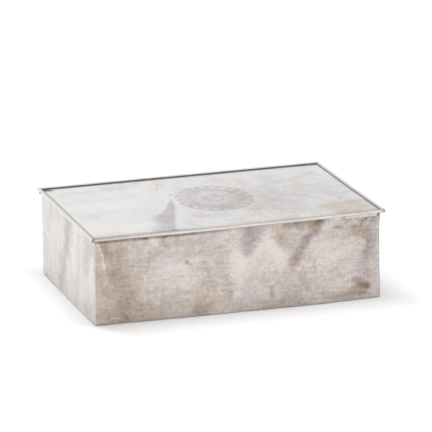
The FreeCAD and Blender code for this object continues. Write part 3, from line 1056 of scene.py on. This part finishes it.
def stand_rim(side, turn, half, offset, shade_and_dirt_line, inner_shade_and_dirt, film, end_film):
    """One length of wire, mitred, its front tips filed round, with painted shade and grime on its inner
    side.
    """
    wire = drawn_wire(2 * half)
    amounts = wire.verts.layers.float.new("film")
    tints = wire.verts.layers.float.new("tint")
    to_side = Matrix.Rotation(math.radians(turn), 3, "Z")
    inward = to_side @ Vector((0, 1, 0))
    for vert in wire.verts:
        x, y, z = vert.co
        at_end = abs(x) > half - 0.01
        if (to_side @ Vector((x, y - offset, 0))).y < 0:
            y += TIP_ROUND * smooth_step(0.5, WIRE_R, -y) * (1.0 - smooth_step(0.0, 3.0, half - abs(x)))
        if at_end:
            x = math.copysign(half - y, x)
        spot = to_side @ Vector((x, y - offset, 0))
        wander = noise.noise(Vector((spot.x / WANDER_SIZE, spot.y / WANDER_SIZE, 1.3)))
        spot += inward * WANDER * wander * (1.0 - smooth_step(half - 8.0, half, abs(x)))
        # Painted shade: the wire is darker on its inner side from a line, partly grime where it meets the
        # plate, and darker underneath, partly tarnish and partly the shade under the rim.
        inner = smooth_step(shade_and_dirt_line, shade_and_dirt_line + 0.3, y)
        under = smooth_step(0.5, 1.4, -z)
        worn = film + (end_film - film) * smooth_step(-60.0, -125.0, x)
        vert[amounts] = worn + inner_shade_and_dirt * inner + UNDER_SHADE_AND_TARNISH * under + MITRE_FILM * at_end
        vert[tints] = 0.0
        spot.z = WIRE_Z + z + lid_warp(spot.x, spot.y) + lid_buckle(spot.x, spot.y)
        vert.co = spot
    stand_piece("lid_wire_" + side, wire, "lid", "lid_rim_" + side, rim_finish, 0)


stand_rim("front", 0, WIRE_X, WIRE_Y, shade_and_dirt_line=-1.3, inner_shade_and_dirt=0.5, film=0.2, end_film=0.4)
stand_rim("right", 90, WIRE_Y, WIRE_X, shade_and_dirt_line=1.2, inner_shade_and_dirt=1.4, film=0.0, end_film=0.0)
stand_rim("left", 270, WIRE_Y, WIRE_X, shade_and_dirt_line=0.7, inner_shade_and_dirt=1.4, film=-0.15, end_film=-0.15)
finish_nodes(back_rim_finish, "lid_rim_back")

# Painted shade: the back rim is darkened low on its inner side, next to the plate, where it shows as a
# dark line.
tree = back_rim_finish.node_tree
place = add_node(tree, "ShaderNodeTexCoord").outputs["Object"]
place = add_node(tree, "ShaderNodeSeparateXYZ", {0: place}).outputs
low_side = add_range(tree, place["Z"], BACK_SHADE_TOP + BACK_SHADE_TOP_EASE, BACK_SHADE_TOP)
inner_side = add_range(tree, place["Y"], BACK_SHADE_END + BACK_SHADE_END_EASE, BACK_SHADE_END)
shade_and_dirt_line = add_math(tree, "MULTIPLY", low_side, inner_side)
for node in tree.nodes:
    if node.type == "GROUP" and node.node_tree == film_group:
        tree.links.new(add_math(tree, "MULTIPLY", shade_and_dirt_line, BACK_SHADE_AMOUNT), node.inputs["Amount"])


# LID BEZEL AND LID KNUCKLES
# Locating strips of sheet silver soldered under the lid and bent with it, and the lid's share of the
# hinge tubes, soldered to the back rim. The strips have a filed lead-in along their lower outer edge,
# and the side ones stop short of the hinge.
BEZEL_ROOM = 0.35
BEZEL_BACK_ROOM = 3.0
BEZEL_HALF_LENGTH = BOX_HALF_LENGTH - SHEET - BEZEL_ROOM
BEZEL_HALF_DEPTH = BOX_HALF_DEPTH - SHEET - BEZEL_ROOM
BEZEL_BACK_END = BOX_HALF_DEPTH - SHEET - BEZEL_BACK_ROOM
BEZEL_DEPTH = 4.0
BEZEL_SHEET = 0.9
BEZEL_LEAD_IN = 0.4
BEZEL_ROWS = 10
BEZEL_FILM = 0.3
BEZEL_ROOT_FILM = 0.3
BEZEL_COLOURS = [(0.72, 0.69, 0.65), (0.45, 0.39, 0.34), (0.47, 0.43, 0.41), (0.19, 0.15, 0.12)]
bezel_finish = silver_finish(
    "bezel silver", BEZEL_COLOURS,
    mottle=0.5, pits=0.3, roughness=0.26, dulling=0.2,
)


def stand_bezel(side, turn, low, high, half, offset):
    """One strip: upright under the lid, mitred where it meets another strip."""
    strip = flat_sheet(high - low, BEZEL_DEPTH, BEZEL_SHEET, round((high - low) / WIRE_PITCH), BEZEL_ROWS)
    to_side = Matrix.Rotation(math.radians(turn), 3, "Z")

    def place(x, y, depth):
        x += (low + high) / 2
        up = y + BEZEL_DEPTH / 2
        if abs(x) > half - 0.01:
            x = math.copysign(half - depth, x)
        lead_in = max(BEZEL_LEAD_IN - up, 0.0) if depth == 0 else 0.0
        spot = to_side @ Vector((x, depth + lead_in - offset, 0))
        bent = lid_warp(spot.x, spot.y) + lid_buckle(spot.x, spot.y)
        spot.z = LID_UNDER - BEZEL_DEPTH + up + bent
        return spot

    def film(x, y, depth):
        return BEZEL_FILM + BEZEL_ROOT_FILM * smooth_step(0.5, 2.0, y), 0.0

    form_sheet(strip, place, film)
    stand_piece("lid_strip_" + side, strip, "lid", "lid_bezel_" + side, bezel_finish, 0)


stand_bezel("front", 0, -BEZEL_HALF_LENGTH, BEZEL_HALF_LENGTH, BEZEL_HALF_LENGTH, BEZEL_HALF_DEPTH)
stand_bezel("right", 90, -BEZEL_HALF_DEPTH, BEZEL_BACK_END, BEZEL_HALF_DEPTH, BEZEL_HALF_LENGTH)
stand_bezel("left", 270, -BEZEL_BACK_END, BEZEL_HALF_DEPTH, BEZEL_HALF_DEPTH, BEZEL_HALF_LENGTH)
finish_nodes(hinge_finish, *["lid_knuckle_%d" % n for n in range(1, 5)])


# STUDIO
# A plain pale floor that takes the shadow, a low pale backdrop that shows only in the silver, one soft
# lamp overhead and a white room. The room lights the floor less near the horizon than from above.
STAGE_COLOUR = (0.798, 0.8, 0.803, 1)
FLOOR_SIZE = 14.0
FLOOR_DROP = 0.0003
FLOOR_NEAR = 0.3
FLOOR_FAR = 1.3
FLOOR_GLOW = 0.19
FAR_FLOOR_GLOW = 0.82
BACKDROP_FOOT_GLOW = 0.385
BACKDROP_TOP_GLOW = 0.535
BACKDROP_FOOT = 0.1
BACKDROP_TOP = 0.8
BACKDROP_WIDTH = 8.0
BACKDROP_HEIGHT = 1.6
BACKDROP_BACK = 2.2
LAMP_SIZE = (0.3, 1.5)
LAMP_POWER = 17.0
LAMP_PLACE = (-0.12, 0.14, 1.5)
ROOM_LOW = 0.3
ROOM_HIGH = 0.95
ROOM_LOW_LEVEL = 0.28
ROOM_HIGH_LEVEL = 0.64


def add_seen(tree):
    """1 where the camera looks, straight or by way of the silver, and 0 where a ray only brings light."""
    light_path = add_node(tree, "ShaderNodeLightPath").outputs
    seen = add_math(tree, "MAXIMUM", light_path["Is Camera Ray"], light_path["Is Glossy Ray"])
    return add_math(tree, "MAXIMUM", seen, light_path["Is Transmission Ray"])


def stage_finish(name, axes, near, far, glow, far_glow):
    """Matt white that shows white to the camera and in the metal, and still takes the shadow."""
    made = bpy.data.materials.new(name)
    made.use_nodes = True
    tree = made.node_tree
    tree.nodes.clear()
    place = add_node(tree, "ShaderNodeTexCoord").outputs["Object"]
    place = add_node(tree, "ShaderNodeVectorMath", {0: place, 1: axes}, operation="MULTIPLY").outputs[0]
    away = add_node(tree, "ShaderNodeVectorMath", {0: place}, operation="LENGTH").outputs["Value"]
    glow = add_range(tree, away, near, far, glow, far_glow)
    glow = add_math(tree, "MULTIPLY", add_seen(tree), glow)
    matt = add_node(tree, "ShaderNodeBsdfDiffuse", {"Color": STAGE_COLOUR})
    shine = add_node(tree, "ShaderNodeEmission", {"Color": (1, 1, 1, 1), "Strength": glow})
    both = add_node(tree, "ShaderNodeAddShader")
    tree.links.new(matt.outputs[0], both.inputs[0])
    tree.links.new(shine.outputs[0], both.inputs[1])
    out = add_node(tree, "ShaderNodeOutputMaterial")
    tree.links.new(both.outputs[0], out.inputs[0])
    return made


def stage_plane(name, width, height, matrix, finish, in_view):
    """A flat plane of the studio. One that isn't in view shows only in the silver."""
    plane = bmesh.new()
    bmesh.ops.create_grid(plane, x_segments=1, y_segments=1, size=0.5)
    bmesh.ops.scale(plane, vec=(width, height, 1), verts=plane.verts)
    bmesh.ops.transform(plane, matrix=matrix, verts=plane.verts)
    mesh = bpy.data.meshes.new(name)
    plane.to_mesh(mesh)
    plane.free()
    made = bpy.data.objects.new(name, mesh)
    mesh.materials.append(finish)
    made.visible_camera = in_view
    bpy.context.scene.collection.objects.link(made)


def soft_lamp(name, size, power, place, aim):
    """A soft lamp that lights the room and throws the shadow, but leaves no hot spot in the silver."""
    lamp = bpy.data.lights.new(name, "AREA")
    lamp.shape = "RECTANGLE"
    lamp.size, lamp.size_y = size
    lamp.energy = power
    made = bpy.data.objects.new(name, lamp)
    made.location = place
    made.rotation_euler = (Vector(aim) - Vector(place)).to_track_quat("-Z", "Y").to_euler()
    made.visible_glossy = False
    bpy.context.scene.collection.objects.link(made)


floor_finish = stage_finish("floor white", (1, 1, 0), FLOOR_NEAR, FLOOR_FAR, FLOOR_GLOW, FAR_FLOOR_GLOW)
lowered = Matrix.Translation((0, 0, -FLOOR_DROP))
stage_plane("floor", FLOOR_SIZE, FLOOR_SIZE, lowered, floor_finish, True)
backdrop_finish = stage_finish(
    "backdrop white", (0, 0, 1), BACKDROP_FOOT, BACKDROP_TOP, BACKDROP_FOOT_GLOW, BACKDROP_TOP_GLOW
)
upright = Matrix.Translation((0, BACKDROP_BACK, BACKDROP_HEIGHT / 2))
upright = upright @ Matrix.Rotation(math.pi / 2, 4, "X")
stage_plane("backdrop", BACKDROP_WIDTH, BACKDROP_HEIGHT, upright, backdrop_finish, False)
soft_lamp("overhead lamp", LAMP_SIZE, LAMP_POWER, LAMP_PLACE, (0, 0, 0))

world = bpy.data.worlds.new("studio")
bpy.context.scene.world = world
world.use_nodes = True
tree = world.node_tree
tree.nodes.clear()
aim = add_node(tree, "ShaderNodeTexCoord").outputs["Generated"]
height = add_node(tree, "ShaderNodeSeparateXYZ", {0: aim}).outputs["Z"]
level = add_range(tree, height, ROOM_LOW, ROOM_HIGH, ROOM_LOW_LEVEL, ROOM_HIGH_LEVEL)
room = add_node(tree, "ShaderNodeBackground", {"Color": (1, 1, 1, 1), "Strength": level})
white = add_node(tree, "ShaderNodeBackground", {"Color": (1, 1, 1, 1), "Strength": 1.0})
either = add_node(tree, "ShaderNodeMixShader", {"Fac": add_seen(tree)})
tree.links.new(room.outputs[0], either.inputs[1])
tree.links.new(white.outputs[0], either.inputs[2])
out = add_node(tree, "ShaderNodeOutputWorld")
tree.links.new(either.outputs[0], out.inputs[0])
bpy.context.scene.view_settings.view_transform = "Standard"


# CAMERA
# A long lens about three metres away, a little above the box and to the left of its front. It was fitted
# to the corners of the lid and the walls in the photo.
AZIMUTH = math.radians(-18.91)
ELEVATION = math.radians(16.72)
DISTANCE = 3.014
ASIDE = 0.0057
ABOVE = 0.0602
SENSOR_WIDTH = 36.0
LENS_LENGTH = 283.4
right = Vector((math.cos(AZIMUTH), math.sin(AZIMUTH), 0.0))
level_back = Vector((math.sin(AZIMUTH), -math.cos(AZIMUTH), 0.0))
back = level_back * math.cos(ELEVATION) + Vector((0, 0, math.sin(ELEVATION)))
up = back.cross(right)
lens = bpy.data.cameras.new("camera")
lens.sensor_width = SENSOR_WIDTH
lens.lens = LENS_LENGTH
lens.clip_end = 50.0
camera = bpy.data.objects.new("camera", lens)
turned = Matrix((right, up, back)).transposed().to_4x4()
camera.matrix_world = Matrix.Translation(back * DISTANCE + right * ASIDE + up * ABOVE) @ turned
bpy.context.scene.collection.objects.link(camera)
bpy.context.scene.camera = camera
